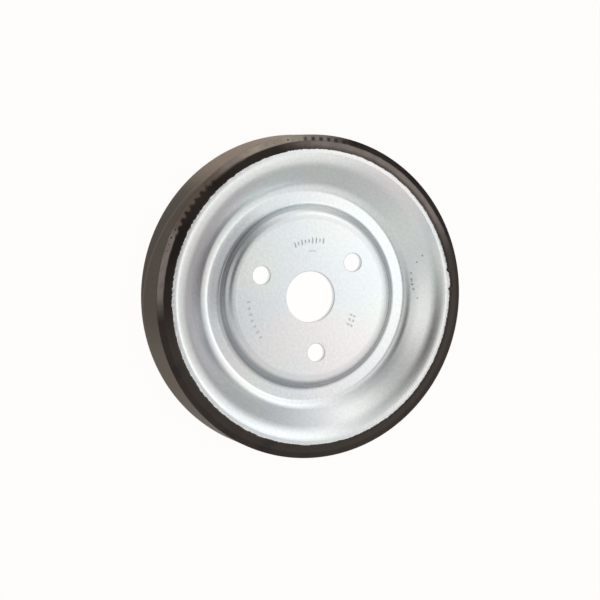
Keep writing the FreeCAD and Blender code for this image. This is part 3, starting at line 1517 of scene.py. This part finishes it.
@dataclass(frozen=True)
class Glow:
    """A soft patch of the studio's surroundings that is brighter or darker than the rest.

    Attributes:
        towards: The direction from the pulley to its middle.
        reach: How far from its middle it has faded by half, in degrees.
        strength: How much brightness it adds, or takes away where it is negative.
    """

    towards: tuple[float, float, float]
    reach: float
    strength: float

    def level(self, sheet: NodeSheet, direction: Signal) -> Signal:
        """Works out what it adds in a direction.

        The patch falls off as a bell does on a sphere: as the exponential of the cosine between the
        two directions, less one, over the width.

        Args:
            sheet: The world's nodes.
            direction: The direction, as a vector of length one.

        Returns:
            Its share of the brightness there.
        """
        sockets = {0: direction, 1: tuple(Vector(self.towards).normalized())}
        cosine = sheet.node("ShaderNodeVectorMath", {"operation": "DOT_PRODUCT"}, sockets, "Value")
        sharpness = math.log(2) / (1 - math.cos(math.radians(self.reach)))
        return sheet.math("EXPONENT", (cosine - 1.0) * sharpness) * self.strength


@dataclass
class Studio:
    """The pale floor, the soft light and the camera at the photo's angle.

    The camera is given by its turn to the pulley's left and above its axis in degrees, its distance
    and sideways shift in millimetres, and the length of its lens in pixels of the picture's width.
    """

    disc: PlatedDisc
    floor_size: float = 6.0
    floor_colour: Colour = (0.93, 0.915, 0.90)
    shine_colour: Colour = (1.0, 0.99, 0.975)
    shine_through: float = 1.0
    shine_open: float = 0.97
    shine_edge: float = 0.9
    camera_turn: float = 20.9505
    camera_rise: float = 4.6694
    camera_distance: float = 700.0
    camera_shift: tuple[float, float] = (-5.33572, -0.841666)
    lens_pixels: float = 1898.576
    picture_pixels: float = 600.0
    sensor_width: float = 36.0
    sky: float = 0.40
    sky_colour: Colour = (1.0, 0.995, 0.985)
    glows: tuple[Glow, ...] = ()

    def floor(self) -> bpy.types.Object:
        """Lays the floor under the drum.

        To the camera and in reflections it shines nearly white, fully so under the pulley, where it
        shows through the holes, and less outside, where the pulley's shadow falls.

        Returns:
            The floor.
        """
        ends = np.array([-0.5, 0.5]) * self.floor_size / MILLIMETRE
        corners = [(x, y, self.disc.back) for x, y in zip(ends[[0, 1, 1, 0]], ends[[0, 0, 1, 1]])]
        piece = placed("floor", Surface(np.array(corners), np.array([[0, 1, 2, 3]])).mesh("floor"))
        sheet = RingSheet("pale_floor")
        edge = self.disc.drum_radius
        under = sheet.radius.smooth_mm(edge, self.shine_edge * edge)
        share = under.spread(self.shine_open, self.shine_through)
        seen = sheet.rays("Is Camera Ray", "Is Glossy Ray", "Is Transmission Ray")
        matt = sheet.node("ShaderNodeBsdfDiffuse", inputs={"Color": (*self.floor_colour, 1.0)})
        shine = {"Color": (*self.shine_colour, 1.0), "Strength": 1.0}
        glow = sheet.node("ShaderNodeEmission", inputs=shine)
        both = sheet.node("ShaderNodeMixShader", inputs={0: seen * share, 1: matt, 2: glow})
        sheet.node("ShaderNodeOutputMaterial", inputs={"Surface": both})
        piece.data.materials.append(sheet.material)
        return piece

    def sky_light(self) -> None:
        """Fills the world with soft light, in large patches, which the camera sees as plain white."""
        world = bpy.data.worlds.new("studio")
        bpy.context.scene.world = world
        sheet = NodeSheet(world)
        direction = sheet.node("ShaderNodeTexCoord", output="Generated")
        level = sum((glow.level(sheet, direction) for glow in self.glows), self.sky)
        level = level + sheet.rays("Is Camera Ray") * (1.0 - level)
        light = {"Color": (*self.sky_colour, 1.0), "Strength": level}
        background = sheet.node("ShaderNodeBackground", inputs=light)
        sheet.node("ShaderNodeOutputWorld", inputs={"Surface": background})

    def camera(self) -> bpy.types.Object:
        """Sets up the camera.

        Its own axes follow from the direction to it: right is square to that and to the pulley's
        +Y, which is up in the picture. Its distance is measured from the rim's plane.

        Returns:
            The camera, which is the scene's own from then on.
        """
        turn = math.radians(self.camera_turn)
        level, lift = heading(self.camera_rise)
        out = Vector((-math.sin(turn) * level, lift, math.cos(turn) * level))
        right = Vector((0, 1, 0)).cross(out).normalized()
        up = out.cross(right)
        shift_right, shift_up = self.camera_shift
        stand = out * self.camera_distance + right * shift_right + up * shift_up
        stand.z += self.disc.rim_height
        lens = bpy.data.cameras.new("camera")
        lens.sensor_width = self.sensor_width
        lens.lens = self.lens_pixels * self.sensor_width / self.picture_pixels
        lens.clip_start, lens.clip_end = 0.01, 20.0
        made = bpy.data.objects.new("camera", lens)
        bpy.context.scene.collection.objects.link(made)
        turned = Matrix((right, up, out)).transposed().to_4x4()
        made.matrix_world = Matrix.Translation(stand * MILLIMETRE) @ turned
        bpy.context.scene.camera = made
        return made

    def build(self) -> None:
        """Lays the floor, lights it, and sets up the camera."""
        self.floor()
        self.sky_light()
        self.camera()
        bpy.context.scene.view_settings.view_transform = "Standard"
        log.info("studio: %d patches of light", len(self.glows))


TALL, SHORT, DOT, DASH = Mark

TALLIES = (
    Tally((TALL, SHORT, TALL, TALL, SHORT, SHORT, TALL, SHORT, TALL), 20.8, 91.8, 1.42, 0.36, -0.12),
    Tally((DASH, DASH), 17.1, 88.0, 1.6, 0.08),
    Tally((SHORT, DOT, SHORT), 17.9, 330.4, 1.8, 0.36, -0.3),
    Tally((SHORT, DOT, SHORT), 19.4, 330.8, 1.8, 0.36, -0.3),
    Tally((SHORT, DOT, SHORT, DOT, SHORT, SHORT, SHORT), 24.4, 199.5, 2.35, 0.2),
)

# Painted shading on the plating: the first stretch darkens the outer cone as painted shade, the next
# four lighten the cone and the flange as painted reflections, and the last two darken the hub's foot as
# painted shade.
PAINTED_SHADING = (
    PaintedShading((45.4, 48.9), (167.0, 24.0, 64.0), (0.66, 0.60, 0.625)),
    PaintedShading((42.2, 45.0), (163.0, 22.0, 42.0), (0.95, 0.89, 0.91), 0.9, 1.0),
    PaintedShading((49.6, 53.4), (150.0, 62.0, 92.0), (0.86, 0.87, 0.86), 0.85, 1.0),
    PaintedShading((44.0, 48.6), (328.0, 26.0, 54.0), (0.94, 0.96, 0.95), 0.9),
    PaintedShading((51.0, 53.4), (342.0, 26.0, 48.0), (0.90, 0.91, 0.89), 0.9, 1.0),
    PaintedShading((31.5, 38.5), (157.0, 12.0, 42.0), (0.45, 0.475, 0.50)),
    PaintedShading((31.8, 35.0), (310.0, 100.0, 140.0), (0.44, 0.455, 0.475), 0.8, 0.8),
)

CONE_SPECKS = (
    Speck(10.4, 42.7, -0.7, 0.5),
    Speck(7.2, 42.6, -0.8, 0.62),
    Speck(6.2, 42.6, -0.8, 0.45),
    Speck(4.6, 42.7, -0.8, 0.7),
    Speck(2.1, 43.0, -0.5, 0.6),
    Speck(15.3, 45.2, 1.2, 0.5),
    Speck(17.8, 47.4, 2.8, 0.6),
    Speck(357.7, 44.3, 0.45, 0.5),
)

# The shoulder's pits, each painted dark as its shade.
LIP_PITS = (
    Speck(108.2, 58.9, 4.7, 0.35),
    Speck(105.1, 58.9, 4.7, 0.35),
    Speck(99.6, 58.9, 4.7, 0.5),
    Speck(154.0, 59.0, 4.7, 0.42),
    Speck(157.1, 59.2, 4.6, 0.48),
    Speck(159.6, 59.2, 4.6, 0.35),
    Speck(162.0, 58.9, 4.7, 0.38),
)

GLOWS = (
    Glow((0.405, -0.018, 0.914), 6.0, 1.33),
    Glow((-0.579, -0.536, 0.615), 31.3, 0.39),
    Glow((0.062, 0.900, 0.431), 19.3, 0.63),
    Glow((-0.715, 0.192, 0.673), 16.7, 0.93),
    Glow((-0.561, 0.175, 0.809), 17.0, -0.85),
    Glow((0.276, -0.033, 0.960), 6.0, -1.20),
    Glow((0.503, 0.456, 0.734), 20.1, 0.99),
    Glow((0.542, -0.410, 0.734), 33.3, 0.59),
    Glow((0.171, 0.074, 0.983), 6.0, 0.43),
)


def main() -> None:
    """Builds the pulley and the studio."""
    logging.basicConfig(level=logging.INFO, format="%(name)s: %(message)s")
    disc = PlatedDisc(tallies=TALLIES)
    disc.build(ZincPlating(painted_shading=PAINTED_SHADING, specks=CONE_SPECKS))
    MouldedTread(disc).build(TreadRubber(pits=LIP_PITS))
    Studio(disc, glows=GLOWS).build()


if __name__ == "__main__":
    main()
